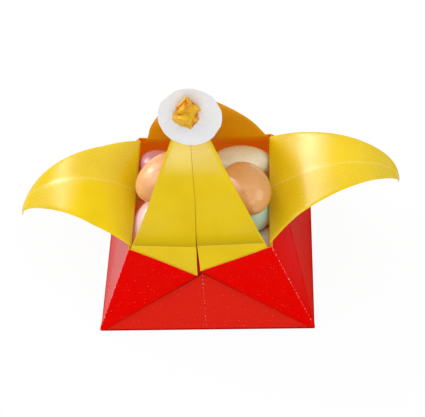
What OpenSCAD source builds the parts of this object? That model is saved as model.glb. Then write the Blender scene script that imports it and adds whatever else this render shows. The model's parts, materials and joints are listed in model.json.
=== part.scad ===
// Origami favour basket: one square of two-colour paper folded into a box with four horns.
// Two horns meet over the mouth as a handle, two curl outwards, and the box is full of sugared almonds.

/* [Sheet] */
// side of the square sheet that is folded
sheet = 200; // [160:1:240]
// thickness of the paper
paper = 0.25; // [0.2:0.01:0.35]
// air left between two layers folded onto each other
layer_gap = 0.15; // [0.1:0.01:0.25]
// half the width of the slit where two raw edges lie side by side
slit = 0.4; // [0.3:0.05:0.8]
// how far the inner folds stay back from the box's corner edges
corner_play = 0.8; // [0.7:0.05:1.2]
// where the creases cross at a base corner, the paper gapes this far
pinhole = 1.2; // [1:0.1:2]
// blunt end of each horn
tip_cut = 1; // [0.6:0.1:2]

/* [Left horn] */
// angle at which it leaves the rim, above level
left_rise = 46; // [30:1:70]
// how far it turns down along its length
left_curl = 125; // [60:1:140]
// one is an even bend, less bends it first, more bends it last
left_ease = 1.05; // [0.7:0.05:2.5]
// slant of the bend
left_skew = -0.5; // [-8:0.5:8]
// fold along its middle: a ridge is more than nought, a valley less
left_ridge = 9; // [-12:0.5:12]

/* [Right horn] */
// angle at which it leaves the rim, above level
right_rise = 38; // [30:1:70]
// how far it turns down along its length
right_curl = 126; // [60:1:140]
// one is an even bend, less bends it first, more bends it last
right_ease = 2.1; // [0.7:0.05:2.5]
// slant of the bend
right_skew = -6.5; // [-8:0.5:8]
// fold along its middle: a ridge is more than nought, a valley less
right_ridge = -5; // [-12:0.5:12]

/* [Handle] */
// bulge of the front horn, each way from the slope of its wall
front_bow = 4; // [1:0.5:8]
// slope of the back horn where it leaves the rim, from upright
back_lean = 13; // [6:1:22]
// how late the back horn bends towards the front one
back_ease = 1.2; // [1:0.1:3]
// film of glue between two glued faces
glue = 0.05; // [0.02:0.01:0.2]

/* [Flower] */
// diameter of the white disc
disc_d = 22; // [16:0.5:28]
// how far up the front horn its middle lies, as a share of the horn
disc_at = 0.85; // [0.75:0.01:0.9]
// how far its middle lies to the right of the horn's own
disc_aside = 0.6; // [-2:0.1:2]
// width of the crumpled wad
wad_w = 9.6; // [6:0.2:14]
// length of the crumpled wad, up the disc
wad_l = 11; // [8:0.2:16]
// how far the wad stands off the disc
wad_h = 7; // [4:0.2:10]
// how far up from the disc's middle the wad is glued
wad_up = 3.6; // [0:0.1:4]
// how far to the right of the disc's middle it is glued
wad_aside = -0.6; // [-2:0.1:2]

/* [Almonds] */
// length of an almond, as a share of the base's side
almond_share = 0.298; // [0.27:0.001:0.3]
// width against length
almond_width = 0.74; // [0.7:0.01:0.76]
// thickness against length
almond_thick = 0.53; // [0.48:0.01:0.56]
// room left between one almond and the next
nut_play = 0.1; // [0.05:0.05:0.4]

/* [Hidden] */
$fn = 48;
red = [0.85, 0.05, 0.02];
yellow = [0.93, 0.76, 0.1];
white = [0.9, 0.89, 0.86];
pink = [0.85, 0.5, 0.52];
peach = [0.95, 0.66, 0.42];
cream = [0.83, 0.75, 0.58];
mint = [0.68, 0.8, 0.67];

// the fold: every length follows from the sheet
half = sheet / 2;
base_half = half * (sqrt(2) - 1);
wall_slant = half * sin(22.5);
horn = half - wall_slant;
rim_half = base_half * (1 - wall_slant / half);
lean = asin(base_half / half);
rim_z = wall_slant * cos(lean);
flap_angle = 33.75;
v_slant = base_half * tan(flap_angle);
stack = 2 * paper + layer_gap;

// the layers of a wall, measured outwards from the red side of the innermost
in_a = 0;
in_b = -paper;
mid_a = layer_gap;
mid_b = layer_gap + paper;
out_b = 2 * layer_gap + paper;
out_a = 2 * layer_gap + 2 * paper;

// the four walls in turn: front, right, back, left
outward = [[0, -1], [1, 0], [0, 1], [-1, 0]];
along = [[1, 0], [0, 1], [-1, 0], [0, -1]];
steps = 12;
step = (horn - tip_cut) / steps;
rows = steps + 4;

// the bend of the back horn that brings its tip against the front horn
function front_angle(x) = lean - front_bow + 2 * front_bow * x;
function back_angle(x, bend) = back_lean + bend * pow(x, back_ease);
function horn_angle(i, x, bend) =
    i == 0 ? front_angle(x) :
    i == 1 ? right_rise - 90 - right_curl * pow(x, right_ease) :
    i == 2 ? back_angle(x, bend) :
    left_rise - 90 - left_curl * pow(x, left_ease);
function angles(i, bend) = [for (j = [0 : steps - 1]) horn_angle(i, (j + 0.5) / steps, bend)];
function stride(t) = step * [-sin(t), cos(t)];
function walk(a) = [for (j = 0, p = [rim_half, rim_z]; j <= steps;
                         p = p + stride(a[min(j, steps - 1)]), j = j + 1) p];
function mitre(a, b) = [cos((a + b) / 2), sin((a + b) / 2)] / cos((a - b) / 2);
function normals(a) = [for (j = [0 : steps])
    j == 0 ? mitre(lean, a[0]) : mitre(a[j - 1], a[min(j, steps - 1)])];

// how far a point behind the handle lies from the front horn's inner face
front_angles = angles(0, 0);
front_walk = walk(front_angles);
function clear_of_front(p) = min([for (j = [0 : steps - 1]) let(t = front_angles[j], q = front_walk[j])
    (q[0] + p[0]) * cos(t) - (p[1] - q[1]) * sin(t)]) - paper;
function back_tip(bend) =
    let(a = angles(2, bend)) walk(a)[steps] - paper * [cos(a[steps - 1]), sin(a[steps - 1])];
function close_back(lo, hi, n) =
    let(m = (lo + hi) / 2)
    n == 0 ? lo :
    clear_of_front(back_tip(m)) > glue ? close_back(m, hi, n - 1) : close_back(lo, m, n - 1);
back_bend = close_back(-10, 90, 24);

horn_angles = [for (i = [0 : 3]) angles(i, back_bend)];
horn_walk = [for (i = [0 : 3]) walk(horn_angles[i])];
horn_normals = [for (i = [0 : 3]) normals(horn_angles[i])];
skew = [0, right_skew, 0, left_skew];
ridge = [0, right_ridge, 0, left_ridge];

// rows of points up a wall: base edge, pinhole, tip of the flap, crease, then up the horn
pin_u = pinhole * sin(67.5);
row_u = concat([0, pin_u, v_slant], [for (j = [0 : steps]) wall_slant + j * step]);
function edge_w(u) = base_half * (1 - u / half);
function fold_w(u) = edge_w(u) - corner_play * (u <= wall_slant ? 1 : 1 - (u - wall_slant) / horn);
function on_wall(u, n) = [base_half - u * sin(lean), u * cos(lean)] + n * [cos(lean), sin(lean)];
function at_row(i, r, n) = r < 3 ? on_wall(row_u[r], n) : horn_walk[i][r - 3] + n * horn_normals[i][r - 3];
function slide(i, r) = r <= 3 ? 0 :
    ((horn_walk[i][r - 3] - horn_walk[i][0]) * [-sin(horn_angles[i][0]), cos(horn_angles[i][0])]
     - (r - 3) * step) * sin(skew[i]);
function place(i, rz, w) =
    [outward[i][0] * rz[0] + along[i][0] * w, outward[i][1] * rz[0] + along[i][1] * w, rz[1]];

// the fold along a horn's middle opens over its first quarter
function ridge_at(i, r) = r <= 3 ? 0 : ridge[i] * min(1, 4 * (r - 3) / steps);
function across(i, r, n, w) =
    let(a = ridge_at(i, r)) place(i, at_row(i, r, n + abs(w) * sin(a)), w * cos(a) + slide(i, r));

// the base's inner face meets the wall's inner face a little inside the base edge
base_in = base_half - paper * (1 + sin(lean)) / cos(lean);
function inner_point(i, r, s, b) =
    r == 0 ? place(i, b ? [base_in, paper] : [base_half, 0], s * (base_half - pinhole)) :
    across(i, r, b ? in_b : in_a, s * (fold_w(row_u[r]) + (b ? paper : 0)));

// where the creases cross, the base's corner is rounded
foot_steps = 3;
function foot_point(i, k, b) =
    let(w = base_half - pinhole, e = (b ? base_in : base_half) - w, a = 90 * k / foot_steps)
    place(i, [w + e * cos(a), b ? paper : 0], w + e * sin(a));

// the flap's lower fold runs from the base corner to the middle of the wall
function flap_u(q, b) = (q == 0 ? pinhole * sin(flap_angle) : v_slant) - (b ? 0 : paper * cos(flap_angle));
function flap_w(q, b) =
    (q == 0 ? base_half - pinhole * cos(flap_angle) : slit) - (b ? 0 : paper * sin(flap_angle));
function mid_point(i, m, s, c, b) =
    c == 0 && m <= 1 ? place(i, on_wall(flap_u(m, b), b ? mid_b : mid_a), s * flap_w(m, b)) :
    across(i, m + 1, b ? mid_b : mid_a,
           s * (c == 0 ? min(slit, fold_w(row_u[m + 1]) / 2) : fold_w(row_u[m + 1]) + (b ? paper : 0)));
function outer_point(i, s, q, b) = place(i, on_wall(flap_u(q, b), b ? out_b : out_a), s * flap_w(q, b));
function corner_point(i, q, b) =
    let(u = q == 0 ? pin_u : wall_slant - 2 * paper, m = edge_w(u) + (b ? out_b : out_a) / cos(lean))
    place(i, [m, u * cos(lean)], m);

sheet_points = [for (i = [0 : 3]) each concat(
    [for (r = [0 : rows - 1], b = [0, 1], s = [-1, 1]) inner_point(i, r, s, b == 1)],
    [for (m = [0 : rows - 2], s = [-1, 1], c = [0, 1], b = [0, 1]) mid_point(i, m, s, c, b == 1)],
    [for (s = [-1, 1], q = [0, 1], b = [0, 1]) outer_point(i, s, q, b == 1)],
    [for (q = [0, 1], b = [0, 1]) corner_point(i, q, b == 1)],
    [for (r = [3 : rows - 1], b = [0, 1]) inner_point(i, r, 0, b == 1)],
    [for (k = [1 : foot_steps - 1], b = [0, 1]) foot_point(i, k, b == 1)])];
walls_end = 4 * rows + 8 * (rows - 1) + 12;
block = walls_end + 2 * (rows - 3) + 2 * (foot_steps - 1);
function side(s) = s > 0 ? 1 : 0;
function pi_(i, r, s, b) = i * block + r * 4 + b * 2 + side(s);
function pm(i, m, s, c, b) = i * block + 4 * rows + m * 8 + side(s) * 4 + c * 2 + b;
function po(i, s, q, b) = i * block + 4 * rows + 8 * (rows - 1) + side(s) * 4 + q * 2 + b;
function pc(i, s, q, b) = (s > 0 ? i : (i + 3) % 4) * block + 4 * rows + 8 * (rows - 1) + 8 + q * 2 + b;

function pz(i, r, b) = i * block + walls_end + (r - 3) * 2 + b;
function pf(i, k, b) =
    k == 0 ? pi_(i, 0, 1, b) :
    k == foot_steps ? pi_((i + 1) % 4, 0, -1, b) :
    i * block + walls_end + 2 * (rows - 3) + (k - 1) * 2 + b;

// a quad as two triangles, turned over on the mirrored half of a wall
function quad(s, a, b, c, d) = s > 0 ? [[c, b, a], [d, c, a]] : [[a, b, c], [a, c, d]];
function half_quad(s, a, b, c) = s > 0 ? [[c, b, a]] : [[a, b, c]];
function base_faces() = let(
    a = [for (i = [0 : 3], k = [-1 : foot_steps - 1]) k < 0 ? pi_(i, 0, -1, 0) : pf(i, k, 0)],
    b = [for (i = [0 : 3], k = [-1 : foot_steps - 1]) k < 0 ? pi_(i, 0, -1, 1) : pf(i, k, 1)],
    e = len(a) - 2)
    concat([for (j = [1 : e]) [a[0], a[j], a[j + 1]]], [for (j = [1 : e]) [b[0], b[j + 1], b[j]]]);
function wall_faces(i) = let(e = rows - 1) concat(
    [for (r = [0, 1]) each concat(
        quad(1, pi_(i, r, -1, 0), pi_(i, r, 1, 0), pi_(i, r + 1, 1, 0), pi_(i, r + 1, -1, 0)),
        quad(-1, pi_(i, r, -1, 1), pi_(i, r, 1, 1), pi_(i, r + 1, 1, 1), pi_(i, r + 1, -1, 1)))],
    [[pz(i, 3, 0), pi_(i, 2, 1, 0), pi_(i, 2, -1, 0)], [pi_(i, 2, -1, 1), pi_(i, 2, 1, 1), pz(i, 3, 1)]],
    [for (s = [-1, 1]) each concat(
        half_quad(s, pi_(i, 3, s, 0), pz(i, 3, 0), pi_(i, 2, s, 0)),
        half_quad(-s, pi_(i, 3, s, 1), pz(i, 3, 1), pi_(i, 2, s, 1)),
        [for (r = [3 : e - 1]) each concat(
            quad(s, pz(i, r, 0), pi_(i, r, s, 0), pi_(i, r + 1, s, 0), pz(i, r + 1, 0)),
            quad(-s, pz(i, r, 1), pi_(i, r, s, 1), pi_(i, r + 1, s, 1), pz(i, r + 1, 1)))],
        quad(s, pz(i, e, 1), pz(i, e, 0), pi_(i, e, s, 0), pi_(i, e, s, 1)))],
    [for (k = [0 : foot_steps - 1]) each
        quad(1, pf(i, k, 0), pf(i, k + 1, 0), pf(i, k + 1, 1), pf(i, k, 1))]);
function flap_faces(i, s) = let(e = rows - 2) concat(
    [for (m = [0 : e - 1]) each concat(
        quad(s, pm(i, m, s, 0, 1), pm(i, m, s, 1, 1), pm(i, m + 1, s, 1, 1), pm(i, m + 1, s, 0, 1)),
        quad(-s, pm(i, m, s, 0, 0), pm(i, m, s, 1, 0), pm(i, m + 1, s, 1, 0), pm(i, m + 1, s, 0, 0)),
        quad(s, pi_(i, m + 1, s, 1), pi_(i, m + 2, s, 1), pm(i, m + 1, s, 1, 1), pm(i, m, s, 1, 1)),
        quad(s, pi_(i, m + 1, s, 0), pm(i, m, s, 1, 0), pm(i, m + 1, s, 1, 0), pi_(i, m + 2, s, 0)))],
    [for (m = [1 : e - 1]) each
        quad(s, pm(i, m, s, 0, 0), pm(i, m, s, 0, 1), pm(i, m + 1, s, 0, 1), pm(i, m + 1, s, 0, 0))],
    quad(s, po(i, s, 0, 0), pc(i, s, 0, 0), pc(i, s, 1, 0), po(i, s, 1, 0)),
    quad(-s, po(i, s, 0, 1), pc(i, s, 0, 1), pc(i, s, 1, 1), po(i, s, 1, 1)),
    quad(s, pm(i, 0, s, 0, 1), pm(i, 1, s, 0, 1), po(i, s, 1, 1), po(i, s, 0, 1)),
    quad(s, pm(i, 0, s, 0, 0), po(i, s, 0, 0), po(i, s, 1, 0), pm(i, 1, s, 0, 0)),
    quad(s, pm(i, e, s, 0, 0), pm(i, e, s, 0, 1), pm(i, e, s, 1, 1), pm(i, e, s, 1, 0)),
    quad(s, pi_(i, e + 1, s, 0), pm(i, e, s, 1, 0), pm(i, e, s, 1, 1), pi_(i, e + 1, s, 1)),
    quad(s, po(i, s, 1, 1), po(i, s, 1, 0), pc(i, s, 1, 0), pc(i, s, 1, 1)),
    quad(s, pm(i, 1, s, 0, 0), po(i, s, 1, 0), po(i, s, 1, 1), pm(i, 1, s, 0, 1)),
    quad(s, pi_(i, 0, s, 1), pi_(i, 1, s, 1), pi_(i, 1, s, 0), pi_(i, 0, s, 0)),
    quad(s, pi_(i, 1, s, 0), pi_(i, 1, s, 1), pm(i, 0, s, 1, 1), pm(i, 0, s, 1, 0)),
    quad(s, pm(i, 0, s, 0, 0), pm(i, 0, s, 1, 0), pm(i, 0, s, 1, 1), pm(i, 0, s, 0, 1)),
    quad(s, pm(i, 0, s, 0, 0), pm(i, 0, s, 0, 1), po(i, s, 0, 1), po(i, s, 0, 0)),
    quad(s, po(i, s, 0, 1), pc(i, s, 0, 1), pc(i, s, 0, 0), po(i, s, 0, 0)));
sheet_faces = concat(base_faces(),
    [for (i = [0 : 3]) each concat(wall_faces(i), flap_faces(i, -1), flap_faces(i, 1))]);

// an almond is an ellipsoid, and the layers below follow from its three sizes
almond_l = almond_share * 2 * base_half;
almond_w = almond_width * almond_l;
almond_t = almond_thick * almond_l;
pitch = [almond_l + nut_play, almond_w + nut_play, almond_t + nut_play];
floor_z = paper + nut_play + almond_t / 2;
middle_z = floor_z + pitch[2] * sqrt(0.5);
top_z = middle_z + pitch[2] / 2 + nut_play / 2;

// where the disc lies: flat on one step of the front horn
disc_v = disc_at * horn;
disc_step = min(floor(disc_v / step), steps - 1);
disc_angle = front_angles[disc_step];
disc_mid = front_walk[disc_step] + (disc_v - disc_step * step) * [-sin(disc_angle), cos(disc_angle)];
// flats left by the scissors: direction, and depth as a share of the radius
snips = [[129, 0.03], [68, 0.012], [25, 0.02], [-33, 0.025],
         [-75, 0.01], [-118, 0.02], [-160, 0.012], [172, 0.01]];

// the wad: rings of points pushed in and out
wad_rings = 7;
wad_sides = 11;
wad_under = 32;
wad_noise = rands(-1, 1, wad_rings * wad_sides, 7);
wad_rise = wad_h / (1 + sin(wad_under));
function wad_ring(i) = 90 - i * (90 + wad_under) / wad_rings;
function wad_point(i, j) =
    let(e = wad_ring(i),
        r = 0.93 + 0.14 * wad_noise[(i - 1) * wad_sides + j],
        a = (j + i / 2) * 360 / wad_sides)
    [wad_w / 2 * cos(e) * r * cos(a), wad_l / 2 * cos(e) * r * sin(a),
     i == wad_rings ? 0 : wad_rise * (sin(wad_under) + sin(e) * r)];
wad_points = concat([[0, 0, wad_h]],
    [for (i = [1 : wad_rings], j = [0 : wad_sides - 1]) wad_point(i, j)], [[0, 0, 0]]);
function wad_index(i, j) = 1 + (i - 1) * wad_sides + j % wad_sides;
wad_faces = [for (j = [0 : wad_sides - 1]) each concat(
    [[0, wad_index(1, j + 1), wad_index(1, j)],
     [len(wad_points) - 1, wad_index(wad_rings, j), wad_index(wad_rings, j + 1)]],
    [for (i = [1 : wad_rings - 1]) each
        [[wad_index(i, j), wad_index(i, j + 1), wad_index(i + 1, j)],
         [wad_index(i, j + 1), wad_index(i + 1, j + 1), wad_index(i + 1, j)]]])];

// the one sheet, red side out on the box and yellow side out on the horns
module paper_basket() {
    color(red) polyhedron(points = sheet_points, faces = sheet_faces, convexity = 12);
}

// stands its children on the front horn's outer face, n above the innermost layer's red side
module on_handle(n) {
    at = disc_mid + n * [cos(disc_angle), sin(disc_angle)];
    translate([disc_aside, -at[0], at[1]]) rotate([90 - disc_angle, 0, 0]) children();
}

// hand-cut disc glued to the front horn
module paper_disc() {
    color(white) on_handle(mid_b + glue) linear_extrude(paper) difference() {
        circle(d = disc_d);
        for (s = snips)
            rotate(s[0]) translate([disc_d / 2 * (1 - s[1]), -disc_d / 2]) square(disc_d);
    }
}

// crumpled wad glued to the disc
module paper_wad() {
    color(yellow) on_handle(mid_b + paper + 2 * glue) translate([wad_aside, wad_up])
        rotate(-20) polyhedron(points = wad_points, faces = wad_faces);
}

module almond(at, turn, tone) {
    color(tone) translate(at) rotate(turn) scale([almond_l / 2, almond_w / 2, almond_t / 2]) sphere(1);
}

// an almond of the floor layer, counted in whole and half places from the middle
module floor_almond(col, row, tone) {
    almond([col * pitch[0], row * pitch[1], floor_z], [0, 0, 0], tone);
}

// an almond of the middle layer, in the hollow between four of the floor
module middle_almond(col, row, tone) {
    almond([col * pitch[0], row * pitch[1], middle_z], [0, 0, 0], tone);
}

// an almond of the heap: place in almond lengths, lift above the middle layer in thicknesses, then its turns
module heaped_almond(place, lift, turns, tone) {
    almond([place[0] * almond_l, place[1] * almond_l, top_z + lift * almond_t], turns, tone);
}

module almond_pink_back() { heaped_almond([-0.59, 0.525], 0.52, [-17, 9, -29], pink); }
module almond_peach_left() { heaped_almond([-0.555, 0.035], 1.54, [-6, -7, 43], peach); }
module almond_pink_front() { heaped_almond([-0.73, -0.525], 0.55, [-8, -18, 67], pink); }
module almond_cream_back() { heaped_almond([0.61, 0.64], 0.58, [-30, 13, 6], cream); }
module almond_peach_right() { heaped_almond([0.685, -0.235], 1.57, [-12, 6, 117], peach); }
module almond_mint_front() { heaped_almond([0.575, -0.33], 0.54, [0, 0, 6], mint); }
module almond_middle_1() { middle_almond(-0.5, -1, cream); }
module almond_middle_2() { heaped_almond([-0.77, -0.045], -0.32, [-23, 11, -4], peach); }
module almond_middle_3() { middle_almond(-0.5, 1, white); }
module almond_middle_4() { heaped_almond([0.82, -0.795], -0.22, [119, -11, 48], white); }
module almond_middle_5() { middle_almond(0.5, 0, pink); }
module almond_middle_6() { middle_almond(0.5, 1, mint); }
module almond_floor_1() { floor_almond(-1, -1.5, pink); }
module almond_floor_2() { floor_almond(-1, -0.5, white); }
module almond_floor_3() { floor_almond(-1, 0.5, mint); }
module almond_floor_4() { floor_almond(-1, 1.5, peach); }
module almond_floor_5() { floor_almond(0, -1.5, mint); }
module almond_floor_6() { floor_almond(0, -0.5, peach); }
module almond_floor_7() { floor_almond(0, 0.5, pink); }
module almond_floor_8() { floor_almond(0, 1.5, cream); }
module almond_floor_9() { floor_almond(1, -1.5, cream); }
module almond_floor_10() { floor_almond(1, -0.5, mint); }
module almond_floor_11() { floor_almond(1, 0.5, white); }
module almond_floor_12() { floor_almond(1, 1.5, pink); }

paper_basket();
paper_disc();
paper_wad();
almond_pink_back();
almond_peach_left();
almond_pink_front();
almond_cream_back();
almond_peach_right();
almond_mint_front();
almond_middle_1();
almond_middle_2();
almond_middle_3();
almond_middle_4();
almond_middle_5();
almond_middle_6();
almond_floor_1();
almond_floor_2();
almond_floor_3();
almond_floor_4();
almond_floor_5();
almond_floor_6();
almond_floor_7();
almond_floor_8();
almond_floor_9();
almond_floor_10();
almond_floor_11();
almond_floor_12();
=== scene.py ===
"""Looks of an origami favour basket.

The basket is one square of two-colour paper, folded into a box with four horns and filled with sugared
almonds. A cut disc of white paper with a crumpled wad in its middle is glued to the front horn.
"""

import json
import logging
import math
from collections.abc import Iterable
from dataclasses import dataclass
from enum import Enum

import bpy
import numpy as np
from mathutils import Matrix, Vector

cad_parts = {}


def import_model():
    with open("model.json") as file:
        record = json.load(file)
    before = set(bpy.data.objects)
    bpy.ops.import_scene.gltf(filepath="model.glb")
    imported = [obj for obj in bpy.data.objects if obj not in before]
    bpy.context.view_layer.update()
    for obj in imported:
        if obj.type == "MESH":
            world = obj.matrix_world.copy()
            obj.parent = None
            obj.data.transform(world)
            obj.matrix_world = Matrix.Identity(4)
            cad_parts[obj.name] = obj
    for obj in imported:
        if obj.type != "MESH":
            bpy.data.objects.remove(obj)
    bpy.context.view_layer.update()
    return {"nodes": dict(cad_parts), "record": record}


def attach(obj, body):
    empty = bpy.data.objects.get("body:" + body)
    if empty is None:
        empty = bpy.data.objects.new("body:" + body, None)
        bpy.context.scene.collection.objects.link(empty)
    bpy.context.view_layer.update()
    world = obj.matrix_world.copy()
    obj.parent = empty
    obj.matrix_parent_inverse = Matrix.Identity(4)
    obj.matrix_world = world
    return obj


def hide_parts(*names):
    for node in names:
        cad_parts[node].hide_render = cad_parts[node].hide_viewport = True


LOG = logging.getLogger("basket")
MM = 0.001
BODY = "root"
SMOOTH_ANGLE = math.radians(35.0)
# Height of the paper's tooth in metres.
TOOTH = 0.0002
Socket = bpy.types.NodeSocket
Colour = tuple[float, float, float]
# A noise is its scale, its detail and how rough it is.
Noise = tuple[float, ...]
# A span is the values where it starts and ends, and what it gives there if that isn't 0 and 1.
Span = tuple[float, ...]
# A relief is the share of a height that shows, and the metres that a height of 1 stands for.
Relief = tuple[float, float]


class Wall(Enum):
    """The four walls of the box, each with the way it faces on the flat sheet."""

    FRONT = (0.0, -1.0)
    RIGHT = (1.0, 0.0)
    BACK = (0.0, 1.0)
    LEFT = (-1.0, 0.0)

    @property
    def outward(self) -> np.ndarray:
        """Direction that the wall faces."""
        return np.array(self.value)

    @property
    def along(self) -> np.ndarray:
        """Direction along the wall's base edge."""
        return np.array([-self.value[1], self.value[0]])


class Layer(Enum):
    """The layers that the fold leaves on a wall, from the innermost to the outermost."""

    INNER = 1
    FLAP = 2
    CUFF = 3


def smooth(x: np.ndarray) -> np.ndarray:
    """Eases from 0 to 1 as x goes from 0 to 1."""
    t = np.clip(x, 0.0, 1.0)
    return t * t * (3.0 - 2.0 * t)


def bell(x: np.ndarray, width: float) -> np.ndarray:
    """Falls from 1 where x is 0 towards 0 past a width to either side."""
    return np.exp(-((x / width) ** 2))


def cross(direction: np.ndarray, points: np.ndarray) -> np.ndarray:
    """Signed distance of points from the line through the origin along a unit direction."""
    return direction[0] * points[:, 1] - direction[1] * points[:, 0]


def mirrored(points: np.ndarray, direction: np.ndarray) -> np.ndarray:
    """Points turned over about the line through the origin along a unit direction."""
    return 2.0 * (points @ direction)[:, None] * direction - points


def towards(azimuth: float, elevation: float) -> Vector:
    """Unit direction from the box at an azimuth and an elevation in degrees."""
    turn, rise = math.radians(azimuth), math.radians(elevation)
    return Vector((math.sin(turn) * math.cos(rise), -math.cos(turn) * math.cos(rise), math.sin(rise)))


def places(mesh: bpy.types.Mesh) -> np.ndarray:
    """Places of a mesh's vertices, a row for each."""
    found = np.empty(3 * len(mesh.vertices))
    mesh.vertices.foreach_get("co", found)
    return found.reshape(-1, 3)


def thicken(piece: bpy.types.Object, paper: float, other_side: int = 0, rim: int = 0) -> None:
    """Gives a selected sheet of paper its thickness and smooths its shading.

    Args:
        piece: The sheet.
        paper: Its thickness in millimetres.
        other_side: Steps from the first finish to that of the other side.
        rim: Steps from the first finish to that of the cut edge.
    """
    body = piece.modifiers.new("thickness", "SOLIDIFY")
    body.thickness = paper * MM
    body.offset = 0.0
    body.material_offset = other_side
    body.material_offset_rim = rim
    bpy.ops.object.modifier_apply(modifier=body.name)
    bpy.ops.object.shade_smooth_by_angle(angle=SMOOTH_ANGLE)


class NodeSheet:
    """Lays the nodes of one material.

    Args:
        name: Name of the material.
    """

    def __init__(self, name: str) -> None:
        """Starts the material with its shader."""
        self.material = bpy.data.materials.new(name)
        self.material.use_nodes = True
        self.tree = self.material.node_tree
        self.shader = self.tree.nodes["Principled BSDF"]

    def node(self, kind: str, **settings: object) -> bpy.types.Node:
        """Adds a node.

        Args:
            kind: Blender's name of the node.
            settings: Properties to set on it.

        Returns:
            The new node.
        """
        made = self.tree.nodes.new(kind)
        for key, value in settings.items():
            setattr(made, key, value)
        return made

    def feed(self, socket: Socket, value: Socket | float | tuple[float, ...]) -> None:
        """Links a socket, or sets its number or colour."""
        if isinstance(value, Socket):
            self.tree.links.new(value, socket)
        else:
            socket.default_value = value

    def math(self, operation: str, *values: Socket | float, clamp: bool = False) -> Socket:
        """Adds a sum.

        Args:
            operation: Name of the sum.
            values: Its terms.
            clamp: Whether the result stays from 0 to 1.

        Returns:
            The result's socket.
        """
        made = self.node("ShaderNodeMath", operation=operation, use_clamp=clamp)
        for socket, value in zip(made.inputs, values):
            self.feed(socket, value)
        return made.outputs[0]

    def times(self, first: Socket, second: Socket | float) -> Socket:
        """Multiplies two values."""
        return self.math("MULTIPLY", first, second)

    def span(self, value: Socket, low: float, high: float, start: float = 0.0, end: float = 1.0) -> Socket:
        """Eases a value from start to end as it goes from low to high.

        Args:
            value: The value's socket.
            low: Value that gives start.
            high: Value that gives end.
            start: First result.
            end: Last result.

        Returns:
            The eased value's socket.
        """
        made = self.node("ShaderNodeMapRange", interpolation_type="SMOOTHSTEP")
        for socket, number in zip(made.inputs, (value, low, high, start, end)):
            self.feed(socket, number)
        return made.outputs[0]

    def noise(self, vector: Socket, scale: float, detail: float = 2.0, roughness: float = 0.5) -> Socket:
        """Adds soft noise and returns its height.

        Args:
            vector: Where it is read.
            scale: How fine it is.
            detail: How many finer layers it has.
            roughness: How strong the finer layers are.

        Returns:
            The height's socket.
        """
        made = self.node("ShaderNodeTexNoise")
        self.feed(made.inputs["Vector"], vector)
        self.feed(made.inputs["Scale"], scale)
        self.feed(made.inputs["Detail"], detail)
        self.feed(made.inputs["Roughness"], roughness)
        return made.outputs[0]

    def mix(self, share: Socket | float, first: Socket | Colour, second: Socket | Colour) -> Socket:
        """Mixes two colours.

        Args:
            share: Share of the second.
            first: First colour.
            second: Second colour.

        Returns:
            The mixed colour's socket.
        """
        made = self.node("ShaderNodeMix", data_type="RGBA")
        self.feed(made.inputs[0], share)
        for socket, colour in ((made.inputs[6], first), (made.inputs[7], second)):
            self.feed(socket, colour if isinstance(colour, Socket) else (*colour, 1.0))
        return made.outputs[2]

    def place(self) -> Socket:
        """Adds the place on the piece, in metres."""
        return self.node("ShaderNodeTexCoord").outputs["Object"]

    def mark(self, name: str) -> Socket:
        """Adds one of the piece's own weights."""
        return self.node("ShaderNodeAttribute", attribute_name=name).outputs["Fac"]

    def facing(self) -> Socket:
        """Adds how far the surface turns away, from 0 to 1, for its gloss."""
        return self.node("ShaderNodeLayerWeight").outputs["Facing"]

    def bump(self, height: Socket, strength: float, depth: float) -> None:
        """Raises the surface by a height.

        Args:
            height: The height's socket.
            strength: Share of it that shows.
            depth: Metres that a height of 1 stands for.
        """
        made = self.node("ShaderNodeBump")
        self.feed(made.inputs["Strength"], strength)
        self.feed(made.inputs["Distance"], depth)
        self.feed(made.inputs["Height"], height)
        self.feed(self.shader.inputs["Normal"], made.outputs[0])

    def set(self, **values: Socket | float | tuple[float, ...]) -> None:
        """Sets sockets of the shader, with spaces written as underscores."""
        for key, value in values.items():
            self.feed(self.shader.inputs[key.replace("_", " ")], value)


@dataclass(frozen=True)
class FoldPlan:
    """Lengths of the folded box in millimetres, all worked out from the side of the sheet."""

    sheet: float = 200.0
    paper: float = 0.25
    layer_gap: float = 0.15
    flap_angle: float = math.radians(33.75)
    tip: float = 1.0

    @property
    def half(self) -> float:
        """Half the side of the sheet, and the height of a wall with its horn."""
        return self.sheet / 2.0

    @property
    def base_half(self) -> float:
        """Half the side of the square base."""
        return self.half * (math.sqrt(2.0) - 1.0)

    @property
    def reach(self) -> float:
        """Distance from the middle of the sheet to its corner."""
        return self.half * math.sqrt(2.0)

    @property
    def wall_slant(self) -> float:
        """Height of a wall along its slope, from the base edge to the rim."""
        return self.half * math.sin(math.radians(22.5))

    @property
    def horn(self) -> float:
        """Length of a horn, from the rim to the tip."""
        return self.half - self.wall_slant

    @property
    def lean(self) -> float:
        """Angle by which a wall leans in from upright."""
        return math.asin(self.base_half / self.half)

    @property
    def v_slant(self) -> float:
        """Height at which the two flaps meet, along the slope."""
        return self.base_half * math.tan(self.flap_angle)

    @property
    def edge_dir(self) -> np.ndarray:
        """Direction from a base corner up the folded edge of a wall."""
        run = np.array([-self.base_half, self.half])
        return run / np.linalg.norm(run)

    @property
    def flap_dir(self) -> np.ndarray:
        """Direction from a base corner along the flap's folded edge."""
        return np.array([-math.cos(self.flap_angle), math.sin(self.flap_angle)])

    def level(self, layer: Layer) -> float:
        """Distance of a layer's middle from the red side of the innermost."""
        return {
            Layer.INNER: -self.paper / 2.0,
            Layer.FLAP: self.layer_gap + self.paper / 2.0,
            Layer.CUFF: 2.0 * self.layer_gap + 1.5 * self.paper,
        }[layer]

    def edge(self, u: np.ndarray) -> np.ndarray:
        """Half the width of a wall or horn at a height along its slope."""
        return self.base_half * (1.0 - u / self.half)

    def share(self, u: np.ndarray) -> np.ndarray:
        """Share of the horn's length, without its very tip, at a height along the slope."""
        return (u - self.wall_slant) / (self.horn - self.tip)


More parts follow.
